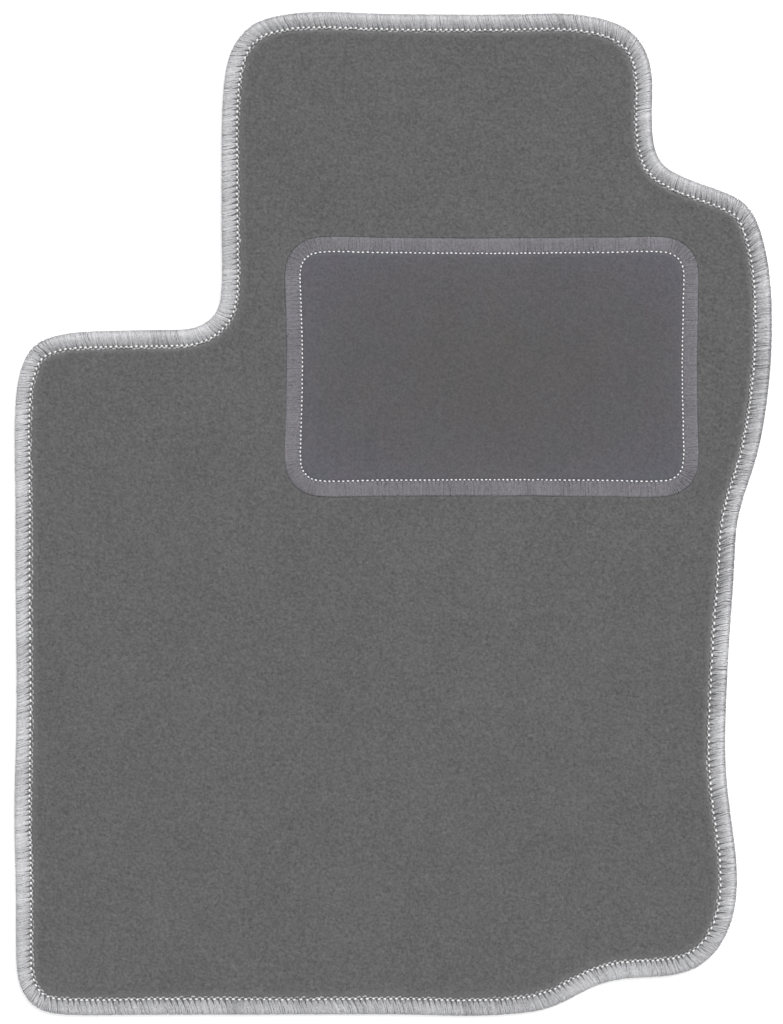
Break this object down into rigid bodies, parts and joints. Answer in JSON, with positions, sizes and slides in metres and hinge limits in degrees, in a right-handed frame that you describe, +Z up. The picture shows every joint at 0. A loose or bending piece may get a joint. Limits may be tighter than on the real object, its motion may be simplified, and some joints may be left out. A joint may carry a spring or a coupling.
{
  "type": "floor mat",
  "caption": "Contoured car floor mat of grey velour on rubber, with an overlocked edge and a bound heel pad sewn on under the pedals.",
  "frame": {"origin": "centre of the mat's outline, on the plane of the underside that lies on the vehicle floor", "axes": "+Z up out of the pile, +Y forwards to the pedals (the mat's length), +X across the vehicle"},
  "size_m": [0.5306, 0.703, 0.0089],
  "materials": {
    "backing_rubber": "matte",
    "latex": "matte",
    "woven_cloth": "matte",
    "mat_pile": "matte",
    "edge_yarn": "satin",
    "white_thread": "satin",
    "pad_cloth": "matte",
    "pad_pile": "matte",
    "pad_yarn": "satin"
  },
  "bodies": {
    "root": {"antislip_backing": "backing_rubber", "latex_precoat": "latex", "primary_backing": "woven_cloth", "carpet_pile": "mat_pile", "edge_binding_yarn": "edge_yarn", "edge_needle_thread": "white_thread", "edge_looper_thread": "edge_yarn", "heel_pad_backing": "pad_cloth", "heel_pad_pile": "pad_pile", "heel_pad_binding_yarn": "pad_yarn", "heel_pad_needle_thread": "pad_yarn", "heel_pad_seam_thread": "white_thread", "heel_pad_bobbin_thread": "white_thread"}
  },
  "joints": []
}
